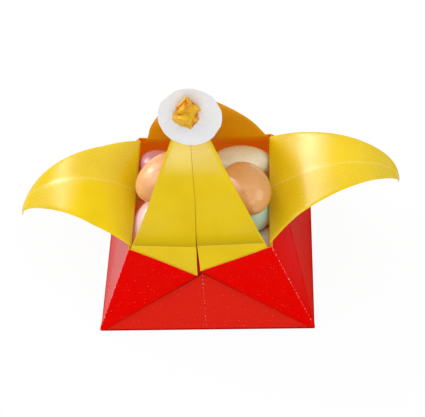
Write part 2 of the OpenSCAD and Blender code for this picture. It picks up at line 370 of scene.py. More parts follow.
@dataclass(frozen=True)
class Bend:
    """How a horn bends: angles in degrees from upright, inwards positive.

    The crease at its foot lies above the rim by some millimetres, and ease is the power of the turn.
    """

    SWELL_AT = 0.64
    SWELL_WIDTH = 0.15

    start: float
    turn: float
    ease: float
    skew: float = 0.0
    ridge: float = 0.0
    kink: float = 0.0
    above: float = 0.0
    swell: float = 0.0

    def angle(self, share: np.ndarray) -> np.ndarray:
        """Angle in radians at a share of the horn's length."""
        swollen = self.swell * bell(share - self.SWELL_AT, self.SWELL_WIDTH)
        return np.radians(self.start + self.turn * np.clip(share, 0.0, None) ** self.ease + swollen)


@dataclass(frozen=True)
class Slack:
    """How far one wall's folds stray from the exact fold, in millimetres, for its two halves."""

    drop: tuple[float, float] = (1.5, 1.5)
    lift: tuple[float, float] = (0.35, 0.35)
    play: tuple[float, float] = (0.8, 0.8)
    aside: float = 0.0


class WallProfile:
    """Line up the middle of a wall and its horn, seen from the side.

    Args:
        plan: The fold's lengths.
        bend: The horn's bend.
    """

    STEP = 0.05
    SOFT = 0.5
    SPARE = 2.0
    KINK_WIDTH = 5.0

    def __init__(self, plan: FoldPlan, bend: Bend) -> None:
        """Walks up the wall and the horn in small steps."""
        self.plan = plan
        self.bend = bend
        self.u = np.arange(0.0, plan.half + self.SPARE, self.STEP)
        crease = plan.wall_slant + bend.above
        past = (self.u - crease) / self.SOFT
        horn = bend.angle(plan.share(self.u))
        horn -= math.radians(bend.kink) * bell(self.u - crease, self.KINK_WIDTH)
        self.angle = plan.lean + (horn - plan.lean) * np.clip(past / 2.0 + 0.5, 0.0, 1.0)
        middle = (self.angle[1:] + self.angle[:-1]) / 2.0
        self.out = plan.base_half - np.concatenate([[0.0], np.cumsum(np.sin(middle))]) * self.STEP
        self.up = np.concatenate([[0.0], np.cumsum(np.cos(middle))]) * self.STEP

    def at(self, u: np.ndarray, n: np.ndarray) -> tuple[np.ndarray, np.ndarray, np.ndarray]:
        """Places points on the wall.

        Args:
            u: Heights along the slope.
            n: Distances off the wall, outwards.

        Returns:
            Distances from the box's axis, heights, and slides along the base edge.
        """
        angle = np.interp(u, self.u, self.angle)
        out = np.interp(u, self.u, self.out)
        up = np.interp(u, self.u, self.up)
        rim_out = float(np.interp(self.plan.wall_slant, self.u, self.out))
        rim_up = float(np.interp(self.plan.wall_slant, self.u, self.up))
        first = math.radians(self.bend.start)
        gone = -(out - rim_out) * math.sin(first) + (up - rim_up) * math.cos(first)
        past = np.clip(u - self.plan.wall_slant, 0.0, None)
        slide = np.where(past > 0.0, gone - past, 0.0) * math.sin(math.radians(self.bend.skew))
        return out + n * np.cos(angle), up + n * np.sin(angle), slide


@dataclass(frozen=True)
class RedCoat:
    """Outer side of the sheet: coated red with pale specks, worn white along the creases, and painted sheen
    and shade.
    """

    colour: Colour = (0.76, 0.0012, 0.0002)
    shade: Colour = (0.74, 0.0025, 0.0008)
    # Painted sheen: a lighter red on the uncovered inner layer.
    bared_painted_sheen: Colour = (0.71, 0.017, 0.008)
    # Dark red of the painted shadow under the flaps and of the painted shade along the base edge.
    base: Colour = (0.33, 0.004, 0.002)
    worn: Colour = (0.9, 0.62, 0.58)
    mottle_noise: Noise = (0.09, 3.0)
    mottle: Span = (0.35, 0.65)
    painted_base_shade: Span = (0.9, 0.4, 0.0, 0.8)
    speck_noise: Noise = (2.3, 1.0)
    specks: Span = (0.71, 0.78)
    speck_share: float = 0.35
    dash_noise: Noise = (1.1, 4.0, 0.75)
    dashes: Span = (0.53, 0.62)
    wall_foot: Span = (0.5, 2.0)
    corner_line: Span = (0.24, 0.06)
    middle_line: Span = (0.2, 0.05)
    grain_noise: Noise = (1.2, 3.0)
    roughness: Span = (0.3, 0.7, 0.29, 0.41)
    grain_depth: float = 0.12
    relief: Relief = (0.25, TOOTH)
    rubbed: Span = (0.004, 0.026, 0.12, 1.0)
    gloss: Span = (0.62, 0.8, 0.006, 0.3)
    dull_fold: Span = (0.0, 0.5, 1.0, 0.02)

    def build(self) -> bpy.types.Material:
        """Makes the material on the sheet's own flat map."""
        sheet = NodeSheet("red_coat")
        flat, across, _, corner, height = paper_map(sheet)
        mottle = sheet.span(sheet.noise(flat, *self.mottle_noise), *self.mottle)
        colour = sheet.mix(mottle, self.colour, self.shade)
        # Painted sheen on the inner layer above the base.
        colour = sheet.mix(sheet.mark("bared_painted_sheen"), colour, self.bared_painted_sheen)
        # Painted shadow under the flaps' folded edges.
        colour = sheet.mix(sheet.mark("painted_flap_shadow"), colour, self.base)
        # Painted shade: a dark line along the base edge, where the wall meets the floor.
        painted_shade_at_base = sheet.span(sheet.math("ABSOLUTE", height), *self.painted_base_shade)
        colour = sheet.mix(painted_shade_at_base, colour, self.base)
        speck = sheet.span(sheet.noise(flat, *self.speck_noise), *self.specks)
        dashes = sheet.span(sheet.noise(flat, *self.dash_noise), *self.dashes)
        on_wall = sheet.span(height, *self.wall_foot)
        on_corner = sheet.times(sheet.span(corner, *self.corner_line), on_wall)
        on_middle = sheet.times(sheet.span(across, *self.middle_line), on_wall)
        wear = sheet.times(sheet.math("MAXIMUM", on_corner, on_middle), dashes)
        pale = sheet.math("ADD", sheet.times(speck, self.speck_share), wear, clamp=True)
        sheet.set(Base_Color=sheet.mix(pale, colour, self.worn))
        grain = sheet.noise(flat, *self.grain_noise)
        sheet.set(Roughness=sheet.span(grain, *self.roughness))
        sheet.bump(sheet.math("SUBTRACT", sheet.times(grain, self.grain_depth), on_middle), *self.relief)
        parts = sheet.node("ShaderNodeSeparateXYZ")
        sheet.feed(parts.inputs[0], sheet.place())
        rubbed = sheet.span(parts.outputs[2], *self.rubbed)
        gloss = sheet.span(sheet.facing(), *self.gloss)
        gloss = sheet.times(gloss, sheet.span(sheet.mark("folded"), *self.dull_fold))
        sheet.set(Specular_IOR_Level=sheet.times(gloss, rubbed))
        return sheet.material


@dataclass(frozen=True)
class YellowCoat:
    """Inner side of the sheet: coated yellow with a fine tooth, warmer with painted light where light comes
    through.
    """

    colour: Colour = (0.79, 0.555, 0.004)
    shade: Colour = (0.75, 0.515, 0.003)
    # Colours of the painted red light coming through the paper: mixed into the base colour, and given off as
    # emission.
    through: Colour = (0.74, 0.06, 0.0)
    painted_lit: Colour = (0.75, 0.17, 0.0)
    # Pale yellow of the worn middle crease, also used for the painted highlight along the front crease.
    worn: Colour = (0.95, 0.82, 0.33)
    # Colour of the painted shade above the front horn's crease.
    painted_crease_shade: Colour = (0.42, 0.28, 0.001)
    mottle_noise: Noise = (0.06, 3.0)
    mottle: Span = (0.35, 0.65)
    painted_shade_share: float = 0.75
    horn_foot: Span = (37.0, 40.0)
    middle_line: Span = (0.26, 0.06)
    line_share: float = 0.45
    painted_highlight_share: float = 0.05
    grain_noise: Noise = (1.6, 3.0, 0.6)
    roughness: Span = (0.3, 0.7, 0.25, 0.29)
    grain_depth: float = 0.1
    groove: Span = (0.5, 0.0)
    relief: Relief = (0.1, TOOTH)
    gloss: Span = (0.16, 0.26, 0.1, 0.75)
    drawn_gloss: Span = (0.08, 0.2, 0.0, 0.65)
    turned_away: Span = (0.4, 0.55, 1.0, 0.05)
    dull_crease: Span = (0.0, 0.3, 1.0, 0.05)
    polish_gloss: float = 0.8
    # Emission of the painted light through the paper: the face gives off light though it is no lamp.
    painted_glow_start: Span = (0.0, 0.3, 0.0, 0.26)
    painted_glow_rise: float = 0.1

    def build(self) -> bpy.types.Material:
        """Makes the material on the sheet's own flat map."""
        sheet = NodeSheet("yellow_coat")
        flat, _, middle, _, height = paper_map(sheet)
        mottle = sheet.span(sheet.noise(flat, *self.mottle_noise), *self.mottle)
        # Painted red light coming through the paper, as a weight.
        painted_glow = sheet.mark("painted_glow")
        # Painted shade in a band above the front crease.
        painted_crease_shading = sheet.mark("painted_crease_shading")
        colour = sheet.mix(mottle, self.colour, self.shade)
        colour = sheet.mix(painted_glow, colour, self.through)
        colour = sheet.mix(sheet.times(painted_crease_shading, self.painted_shade_share), colour, self.painted_crease_shade)
        on_horn = sheet.span(height, *self.horn_foot)
        line = sheet.times(sheet.span(middle, *self.middle_line), on_horn)
        # Painted highlight: a pale line along the front horn's crease.
        painted_crease_highlight = sheet.times(sheet.mark("painted_crease_highlight"), self.painted_highlight_share)
        # Pale where the middle crease is worn, and along the front crease as a painted highlight.
        worn = sheet.math("MAXIMUM", sheet.times(line, self.line_share), painted_crease_highlight)
        sheet.set(Base_Color=sheet.mix(worn, colour, self.worn))
        grain = sheet.noise(flat, *self.grain_noise)
        sheet.set(Roughness=sheet.span(grain, *self.roughness))
        groove = sheet.times(sheet.span(middle, *self.groove), on_horn)
        sheet.bump(sheet.math("SUBTRACT", sheet.times(grain, self.grain_depth), groove), *self.relief)
        facing = sheet.facing()
        drawn = sheet.times(sheet.mark("drawn"), sheet.span(facing, *self.drawn_gloss))
        gloss = sheet.math("MAXIMUM", sheet.span(facing, *self.gloss), drawn)
        gloss = sheet.times(gloss, sheet.span(facing, *self.turned_away))
        gloss = sheet.times(gloss, sheet.span(painted_crease_shading, *self.dull_crease))
        polish = sheet.times(sheet.mark("polish"), self.polish_gloss)
        sheet.set(Specular_IOR_Level=sheet.math("MAXIMUM", gloss, polish))
        # Painted light: the inner face gives off red light as though light came through from behind.
        painted_glow_strength = sheet.math("ADD", sheet.span(painted_glow, *self.painted_glow_start), sheet.times(painted_glow, self.painted_glow_rise))
        sheet.set(Emission_Color=(*self.painted_lit, 1.0), Emission_Strength=painted_glow_strength)
        return sheet.material


@dataclass(frozen=True)
class RawEdge:
    """Edge where the sheet was cut: mostly dyed, with some of its white core."""

    colour: Colour = (0.86, 0.84, 0.8)
    dyed: Colour = (0.78, 0.5, 0.03)
    fibre_noise: Noise = (0.5, 3.0)
    fibres: Span = (0.6, 0.75)
    roughness: float = 0.8

    def build(self) -> bpy.types.Material:
        """Makes the material on the sheet's own flat map."""
        sheet = NodeSheet("raw_edge")
        flat = paper_map(sheet)[0]
        fibre = sheet.span(sheet.noise(flat, *self.fibre_noise), *self.fibres)
        sheet.set(Base_Color=sheet.mix(fibre, self.dyed, self.colour), Roughness=self.roughness)
        return sheet.material


def paper_map(sheet: NodeSheet) -> tuple[Socket, Socket, Socket, Socket, Socket]:
    """Reads where a point lies on the flat sheet, in millimetres.

    Args:
        sheet: The material's nodes.

    Returns:
        The flat place, then the distances from the front wall's middle, from any wall's middle, from a corner
        crease and beyond the base edge.
    """
    plan = FoldPlan()
    centred = sheet.node("ShaderNodeVectorMath", operation="MULTIPLY_ADD")
    sheet.feed(centred.inputs[0], sheet.node("ShaderNodeUVMap", uv_map="flat").outputs[0])
    sheet.feed(centred.inputs[1], (2.0 * plan.reach,) * 3)
    sheet.feed(centred.inputs[2], (-plan.reach, -plan.reach, 0.0))
    parts = sheet.node("ShaderNodeSeparateXYZ")
    sheet.feed(parts.inputs[0], centred.outputs[0])
    across = sheet.math("ABSOLUTE", parts.outputs[0])
    deep = sheet.math("ABSOLUTE", parts.outputs[1])
    middle = sheet.math("MINIMUM", across, deep)
    far = sheet.math("MAXIMUM", across, deep)
    corner = sheet.times(sheet.math("SUBTRACT", far, middle), math.sqrt(0.5))
    height = sheet.math("SUBTRACT", far, plan.base_half)
    return centred.outputs[0], across, middle, corner, height


@dataclass(frozen=True)
class WhitePaper:
    """Plain white paper of the cut disc."""

    colour: Colour = (0.83, 0.84, 0.85)
    shade: Colour = (0.79, 0.8, 0.81)
    fibre_noise: Noise = (900.0, 4.0, 0.65)
    fibres: Span = (0.3, 0.7)
    roughness: float = 0.62
    relief: Relief = (0.12, TOOTH)

    def build(self) -> bpy.types.Material:
        """Makes the material on the piece's own place."""
        sheet = NodeSheet("white_paper")
        fibre = sheet.noise(sheet.place(), *self.fibre_noise)
        colour = sheet.mix(sheet.span(fibre, *self.fibres), self.colour, self.shade)
        sheet.set(Base_Color=colour, Roughness=self.roughness)
        sheet.bump(fibre, *self.relief)
        return sheet.material


@dataclass(frozen=True)
class AmberPaper:
    """Crumpled amber paper, redder in its creases and darker in its hollows as painted shade."""

    colour: Colour = (0.8, 0.49, 0.02)
    deeper: Colour = (0.72, 0.34, 0.006)
    # Dark red of the creases, which also paints shade into the wad's hollows and its foot.
    crease: Colour = (0.58, 0.1, 0.002)
    creases: Span = (0.25, 0.75)
    wrinkle_noise: Noise = (500.0, 4.0, 0.6)
    wrinkles: Span = (0.6, 0.75, 0.0, 0.3)
    roughness: float = 0.42
    gloss: float = 0.25
    relief: Relief = (0.4, 0.0005)

    def build(self) -> bpy.types.Material:
        """Makes the material on the piece's own crease weights."""
        sheet = NodeSheet("amber_paper")
        body = sheet.mix(sheet.mark("facet"), self.colour, self.deeper)
        wrinkle = sheet.noise(sheet.place(), *self.wrinkle_noise)
        fold = sheet.span(sheet.mark("crease"), *self.creases)
        fold = sheet.math("ADD", fold, sheet.span(wrinkle, *self.wrinkles), clamp=True)
        colour = sheet.mix(fold, body, self.crease)
        sheet.set(Base_Color=colour, Roughness=self.roughness, Specular_IOR_Level=self.gloss)
        sheet.bump(wrinkle, *self.relief)
        return sheet.material


@dataclass(frozen=True)
class SugarShell:
    """Smooth sugar shell of an almond in one pale tone."""

    name: str
    colour: Colour
    cloud_noise: Noise = (120.0, 3.0)
    clouds: Span = (0.35, 0.65)
    cloud_tone: float = 0.92
    fine_noise: Noise = (1500.0, 2.0)
    roughness: Span = (0.3, 0.7, 0.24, 0.34)
    lump_noise: Noise = (260.0, 3.0)
    relief: Relief = (0.08, 0.0006)

    def build(self) -> bpy.types.Material:
        """Makes the material on the piece's own place."""
        sheet = NodeSheet(self.name)
        place = sheet.place()
        cloud = sheet.span(sheet.noise(place, *self.cloud_noise), *self.clouds)
        darker = tuple(self.cloud_tone * c for c in self.colour)
        sheet.set(Base_Color=sheet.mix(cloud, self.colour, darker))
        fine = sheet.noise(place, *self.fine_noise)
        sheet.set(Roughness=sheet.span(fine, *self.roughness))
        sheet.set(Subsurface_Weight=0.25, Subsurface_Scale=0.002, Coat_Weight=0.4, Coat_Roughness=0.08)
        sheet.bump(sheet.noise(place, *self.lump_noise), *self.relief)
        return sheet.material


@dataclass(frozen=True)
class Turned:
    """Points of an eighth of the sheet with its flap and cuff turned over onto the exact wall.

    x runs along the base edge and u up the slope. The rest says which layer a point is on, and how far it
    lies from the eighth's creases.
    """

    x: np.ndarray
    u: np.ndarray
    inner: np.ndarray
    cuff: np.ndarray
    base: np.ndarray
    off_edge: np.ndarray
    off_flap: np.ndarray
    off_corner: np.ndarray


@dataclass
class FoldedSheet:
    """The one square of paper, creased and folded into the box with its four horns, in millimetres."""

    ON_LINE = 1e-4
    CELL_MERGE = 0.03
    SEAM_MERGE = 0.008
    BASE_CUTS = (-0.5, 0.0, 0.5, 1.0)
    FOLD_CUTS = (-0.9, -0.45, 0.0, 0.45, 0.9)
    RIM_CUTS = (-0.6, -0.2, 0.2, 0.6)
    CUFF_CUTS = np.arange(-1.8, 1.9, 0.3)
    FLAP_CUTS = np.arange(-2.0, 2.1, 0.25)
    CORNER_ANGLE = math.radians(67.5)
    LEAST_EDGE = 0.05
    FOLD_WIDTH = 0.9
    USUAL_PLAY = 0.8
    SLACK_WIDTH = 9.0
    LOOSE_ABOVE = 25.0
    SLIT = 0.06
    SLIT_OPENING = 0.5
    RIDGE_RISE = 4.0
    WAVES_ABOVE = 12.0
    # Reach and softness of the painted shadow under a flap's folded edge, longer where the flap is lifted.
    SHADE_REACH = 0.5
    SHADE_PER_LIFT = 0.85
    SHADE_SOFT = 0.5
    DULL_WIDTH = 1.5
    POLISH_AT = 0.66
    POLISH_WIDTH = 0.1
    # Widths of the painted highlight along the front horn's crease and of the painted shade above it.
    PRESS_WIDTH = 0.35
    DIM_RISE = 0.4
    DIM_FALL = 3.5
    # Shares of painted red light coming through the paper: on each wall below the rim, on each horn, and on
    # the cuffs near the corners.
    LIGHT = {Wall.FRONT: 0.3, Wall.RIGHT: 0.3, Wall.BACK: 0.9, Wall.LEFT: 0.8}
    HORN_LIGHT = {Wall.FRONT: 0.0, Wall.RIGHT: 0.0, Wall.BACK: 0.2, Wall.LEFT: 0.0}
    LIGHT_TOP = 1.0
    LIGHT_FALL = 11.0
    CUFF_LIGHT = 3.0
    CUFF_LIGHT_FALL = 4.0

    plan: FoldPlan
    cells: int = 70
    wave: float = 0.18

    def __post_init__(self) -> None:
        """Sets out the bends of the horns and the slack of the walls."""
        lean = math.degrees(self.plan.lean)
        self.bends = {
            Wall.FRONT: Bend(lean - 4.0, 2.0, 1.0, kink=12.0, above=1.2, swell=7.0),
            Wall.RIGHT: Bend(-52.0, -126.0, 2.1, skew=-6.5, ridge=-5.0),
            Wall.BACK: Bend(13.0, 28.2, 1.2),
            Wall.LEFT: Bend(-44.0, -125.0, 1.05, skew=-0.5, ridge=9.0),
        }
        self.slacks = {
            Wall.FRONT: Slack(drop=(0.8, -0.8), lift=(1.5, 0.9), play=(0.1, 1.2), aside=-1.0),
            Wall.RIGHT: Slack(),
            Wall.BACK: Slack(play=(1.1, 2.6)),
            Wall.LEFT: Slack(),
        }
        self.profiles = {wall: WallProfile(self.plan, bend) for wall, bend in self.bends.items()}

    def cut(self, point: tuple[float, float], across: np.ndarray, trim: bool = False) -> None:
        """Cuts the eighth along a line.

        Args:
            point: A point of the line.
            across: Direction square to the line.
            trim: Whether what lies beyond the line is cut off.
        """
        bpy.ops.mesh.select_all(action="SELECT")
        bpy.ops.mesh.bisect(
            plane_co=(*point, 0.0), plane_no=(float(across[0]), float(across[1]), 0.0), clear_outer=trim
        )

    def crease(self, point: np.ndarray, line: np.ndarray, offsets: Iterable[float]) -> None:
        """Cuts a row of lines along a crease, so that the paper can bend there.

        Args:
            point: A point of the crease.
            line: Direction of the crease.
            offsets: Distances of the lines from it.
        """
        across = np.array([-line[1], line[0]])
        for offset in offsets:
            self.cut(tuple(point + across * offset), across)

    def crease_eighth(self) -> bpy.types.Object:
        """Makes an eighth of the flat sheet with its creases, in millimetres."""
        plan = self.plan
        middle = plan.reach / 2.0
        bpy.ops.mesh.primitive_grid_add(
            x_subdivisions=self.cells,
            y_subdivisions=self.cells,
            size=plan.reach,
            location=(middle, middle - plan.base_half, 0.0),
        )
        eighth = bpy.context.object
        bpy.ops.object.transform_apply(location=True, rotation=True, scale=True)
        bpy.ops.object.mode_set(mode="EDIT")
        self.cut((0.0, -plan.base_half), np.array([1.0, -1.0]), trim=True)
        self.cut((0.0, plan.half), np.array([1.0, 1.0]), trim=True)
        corner = np.array([plan.base_half, 0.0])
        along = np.array([1.0, 0.0])
        edge = plan.edge_dir
        flap = mirrored(plan.flap_dir[None, :], edge)[0]
        level = mirrored(along[None, :], edge)[0]
        self.crease(np.zeros(2), along, self.BASE_CUTS)
        self.crease(corner, edge, self.FOLD_CUTS)
        self.crease(corner, flap, self.FOLD_CUTS)
        self.crease(np.array([0.0, plan.wall_slant]), along, self.RIM_CUTS)
        self.crease(corner + edge * plan.base_half, level, self.CUFF_CUTS)
        self.crease(corner, plan.flap_dir, self.FLAP_CUTS)
        bpy.ops.mesh.select_all(action="SELECT")
        bpy.ops.mesh.remove_doubles(threshold=self.CELL_MERGE)
        bpy.ops.object.mode_set(mode="OBJECT")
        return eighth

    def wander(self, wall: Wall, x: np.ndarray, u: np.ndarray) -> np.ndarray:
        """Gentle waves of a hand-bent horn.

        Args:
            wall: The wall it belongs to.
            x: Places along the base edge.
            u: Heights along the slope.

        Returns:
            Distances off the exact bend.
        """
        turn = 1.7 * list(Wall).index(wall)
        past = smooth((u - self.plan.wall_slant) / self.WAVES_ABOVE)
        long_wave = np.sin(0.11 * u + 0.05 * x + turn)
        short_wave = np.sin(0.23 * u - 0.12 * x + 2.0 * turn)
        return self.wave * past * (long_wave + 0.5 * short_wave)

    def turn_over(self, flat: np.ndarray) -> Turned:
        """Turns an eighth's flap and cuff over onto its wall.

        Args:
            flat: Places on the flat eighth: along the base edge, and beyond it.

        Returns:
            The points on the exact wall.
        """
        plan = self.plan
        rel = flat - np.array([plan.base_half, 0.0])
        off_edge = cross(plan.edge_dir, rel)
        inner = off_edge >= -self.ON_LINE
        turned = np.where(inner[:, None], rel, mirrored(rel, plan.edge_dir))
        off_flap = cross(plan.flap_dir, turned)
        cuff = ~inner & (off_flap > self.ON_LINE)
        turned = np.where(cuff[:, None], mirrored(turned, plan.flap_dir), turned)
        return Turned(
            x=turned[:, 0] + plan.base_half,
            u=np.clip(turned[:, 1], 0.0, None),
            inner=inner,
            cuff=cuff,
            base=flat[:, 1] <= self.ON_LINE,
            off_edge=off_edge,
            off_flap=off_flap,
            off_corner=np.abs(flat[:, 0] - flat[:, 1] - plan.base_half),
        )

    def stack(self, turned: Turned) -> np.ndarray:
        """Lays the layers on each other.

        Args:
            turned: The points on the exact wall.

        Returns:
            Distances off the wall, eased round the folds.
        """
        inner, flap, cuff = (self.plan.level(layer) for layer in Layer)
        near_edge = smooth(np.abs(turned.off_edge) / self.FOLD_WIDTH)
        near_flap = smooth(np.abs(turned.off_flap) / self.FOLD_WIDTH)
        fold_edge = (inner + flap) / 2.0
        fold_flap = (flap + cuff) / 2.0
        n_inner = fold_edge + (inner - fold_edge) * near_edge
        n_flap = fold_edge + (flap - fold_edge) * near_edge
        n_flap = fold_flap + (n_flap - fold_flap) * near_flap
        n_cuff = fold_flap + (cuff - fold_flap) * near_flap
        return np.select([turned.inner, ~turned.cuff], [n_inner, n_flap], n_cuff)

    def fold(self, flat: np.ndarray, wall: Wall, side: int) -> tuple[np.ndarray, dict[str, np.ndarray]]:
        """Folds an eighth of the sheet.

        Args:
            flat: Places on the flat eighth: along the base edge, and beyond it.
            wall: The wall it becomes.
            side: Which half of the wall, -1 or 1.

        Returns:
            Folded places in millimetres, and the paper's marks by name.
        """
        plan = self.plan
        slack = self.slacks[wall]
        half = 0 if side < 0 else 1
        turned = self.turn_over(flat)
        x, u, inner = turned.x, turned.u, turned.inner

        edge = np.clip(plan.edge(u), self.LEAST_EDGE, None)
        spread = np.arctan2(u, np.clip(plan.base_half - x, 1e-6, None)) / self.CORNER_ANGLE
        centred = np.clip(1.0 - x / edge, 0.0, 1.0)
        below_rim = 1.0 - smooth((u - plan.wall_slant) / self.LOOSE_ABOVE)
        loose = np.where(inner, 0.0, centred * below_rim)
        past_base = smooth(u)
        n = self.stack(turned) * past_base + slack.lift[half] * loose
        more_play = slack.play[half] - self.USUAL_PLAY
        play = self.USUAL_PLAY + more_play * bell(u - plan.wall_slant, self.SLACK_WIDTH)
        play = play * np.clip(1.0 - (u - plan.wall_slant) / plan.horn, 0.0, 1.0)
        back = np.where(inner, spread, 2.0 * spread - 1.0) * np.minimum(play, edge)
        ahead = (2.0 * spread - 1.0) * n * math.cos(plan.lean)
        x = x * (1.0 + np.where(turned.cuff, ahead, -back) / edge)
        slit = self.SLIT + self.SLIT_OPENING * bell(u - plan.v_slant, self.SLACK_WIDTH)
        x = x + np.where(inner, 0.0, np.minimum(slit, edge / 3.0) * centred) + side * slack.aside * loose
        fall = 1.0 - smooth((u - plan.v_slant) / (plan.wall_slant - plan.v_slant))
        u = u - slack.drop[half] * loose * fall

        rise = np.clip(self.RIDGE_RISE * plan.share(u), 0.0, 1.0)
        ridge = math.radians(self.bends[wall].ridge) * rise
        n = n + np.abs(x) * np.sin(ridge) + self.wander(wall, side * x, u)
        x = x * np.cos(ridge)
        out, up, slide = self.profiles[wall].at(np.clip(u, 0.0, None), n)
        up = up + plan.paper / 2.0 * (1.0 - past_base)
        run = np.where(turned.base, side * flat[:, 0], side * x + slide)
        out = np.where(turned.base, flat[:, 1] + plan.base_half, out)
        up = np.where(turned.base, plan.paper / 2.0, up)
        place = np.outer(out, wall.outward) + np.outer(run, wall.along)
        # Reach of the painted shadow that the flap leaves on the layer under it.
        under = self.SHADE_REACH + self.SHADE_PER_LIFT * slack.lift[half] * centred
        return np.column_stack([place, up]), self.paper_marks(wall, turned, u, under)

    def paper_marks(
        self, wall: Wall, turned: Turned, u: np.ndarray, under: np.ndarray
    ) -> dict[str, np.ndarray]:
        """Marks that the fold leaves on the paper, for its finishes.

        Args:
            wall: The wall.
            turned: The points on the exact wall.
            u: Heights along the slope, with the folds' slack.
            under: How far the flap's painted shadow reaches on the layer under it.

        Returns:
            Weights from 0 to 1 by name: painted light coming through the paper, painted sheen on the inner
                layer,
            the flap's fold, its painted shadow, side horns drawn smooth by hand, and the front horn's polish,
            painted highlight along its crease and painted shade above that crease.
        """
        past = u - self.plan.wall_slant - self.bends[wall].above
        outside = (~turned.inner).astype(float) if wall is Wall.FRONT else np.zeros_like(u)
        dull = bell(turned.off_flap, self.DULL_WIDTH)
        # Painted shadow on the inner layer under the flap's edge.
        shade = smooth((under - turned.off_flap) / self.SHADE_SOFT)
        # Painted shade that rises just past the crease and fades up the horn.
        painted_crease_shade = smooth(past / self.DIM_RISE) * np.exp(-np.clip(past, 0.0, None) / self.DIM_FALL)
        return {
            # Painted red light coming through the paper.
            "painted_glow": self.painted_light_through(wall, turned, u),
            # Painted sheen on the uncovered inner layer.
            "bared_painted_sheen": (turned.inner & ~turned.base).astype(float),
            "folded": np.where(turned.inner | (wall is Wall.LEFT), 0.0, dull),
            "painted_flap_shadow": np.where(turned.inner & (turned.off_flap > 0.0), shade, 0.0),
            "drawn": np.full(u.shape, float(wall in (Wall.LEFT, Wall.RIGHT))),
            "polish": outside * bell(self.plan.share(u) - self.POLISH_AT, self.POLISH_WIDTH),
            "painted_crease_highlight": outside * bell(past, self.PRESS_WIDTH),
            "painted_crease_shading": outside * painted_crease_shade,
        }

    def painted_light_through(self, wall: Wall, turned: Turned, u: np.ndarray) -> np.ndarray:
        """Share of painted red light that stands in for light coming through the paper.

        Args:
            wall: The wall.
            turned: The points on the exact wall.
            u: Heights along the slope, with the folds' slack.

        Returns:
            Shares from 0 to 1.
        """
        horn = self.HORN_LIGHT[wall]
        below = smooth((self.plan.wall_slant + self.LIGHT_TOP - u) / self.LIGHT_FALL)
        painted_lit = np.where(turned.inner & ~turned.base, horn + (self.LIGHT[wall] - horn) * below, 0.0)
        painted_glow_on_cuff = 1.0 - smooth((turned.off_corner - self.CUFF_LIGHT) / self.CUFF_LIGHT_FALL)
        return np.where(turned.cuff, painted_glow_on_cuff, painted_lit)

    def build(self) -> bpy.types.Object:
        """Folds the eight eighths, joins them and gives the sheet its thickness."""
        eighth = self.crease_eighth()
        plan = self.plan
        flat = places(eighth.data)[:, :2]
        halves = []
        for wall in Wall:
            for side in (-1, 1):
                mesh = eighth.data.copy()
                place, marks = self.fold(flat, wall, side)
                mesh.vertices.foreach_set("co", (place * MM).ravel())
                for mark, weights in marks.items():
                    mesh.attributes.new(mark, "FLOAT", "POINT").data.foreach_set("value", weights)
                sheet_place = np.outer(side * flat[:, 0], wall.along)
                sheet_place += np.outer(flat[:, 1] + plan.base_half, wall.outward)
                self.map_flat(mesh, sheet_place / (2.0 * plan.reach) + 0.5)
                if side > 0:
                    mesh.flip_normals()
                part = bpy.data.objects.new("eighth", mesh)
                bpy.context.scene.collection.objects.link(part)
                halves.append(part)
        bpy.data.objects.remove(eighth)
        bpy.ops.object.select_all(action="DESELECT")
        for part in halves:
            part.select_set(True)
        bpy.context.view_layer.objects.active = halves[0]
        bpy.ops.object.join()
        sheet = bpy.context.object
        sheet.name = sheet.data.name = "folded_sheet"
        bpy.ops.object.mode_set(mode="EDIT")
        bpy.ops.mesh.select_all(action="SELECT")
        bpy.ops.mesh.remove_doubles(threshold=self.SEAM_MERGE * MM)
        bpy.ops.object.mode_set(mode="OBJECT")
        for finish in (YellowCoat(), RedCoat(), RawEdge()):
            sheet.data.materials.append(finish.build())
        thicken(sheet, plan.paper, other_side=1, rim=2)
        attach(sheet, BODY)
        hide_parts("paper_basket")
        return sheet

    def map_flat(self, mesh: bpy.types.Mesh, place: np.ndarray) -> None:
        """Writes the flat sheet as the mesh's map.

        Args:
            mesh: The mesh.
            place: A place from 0 to 1 for each vertex.
        """
        while mesh.uv_layers:
            mesh.uv_layers.remove(mesh.uv_layers[0])
        layer = mesh.uv_layers.new(name="flat")
        corners = np.empty(len(mesh.loops), dtype=np.int32)
        mesh.loops.foreach_get("vertex_index", corners)
        layer.data.foreach_set("uv", place[corners].ravel())

    def on_handle(self, share: float, aside: float, off: float) -> Matrix:
        """Frame on the outer face of the front horn.

        Args:
            share: How far up the horn, as a share of its length.
            aside: How far to the right, in millimetres.
            off: Distance off the innermost layer, in millimetres.

        Returns:
            The frame in metres, with its third axis away from the horn.
        """
        profile = self.profiles[Wall.FRONT]
        u = np.array([self.plan.wall_slant + share * self.plan.horn])
        out, up, _ = profile.at(u, np.array([off]))
        angle = float(np.interp(u[0], profile.u, profile.angle))
        turned = Matrix.Rotation(math.pi / 2.0 - angle, 4, "X")
        return Matrix.Translation(Vector((aside, -float(out[0]), float(up[0]))) * MM) @ turned


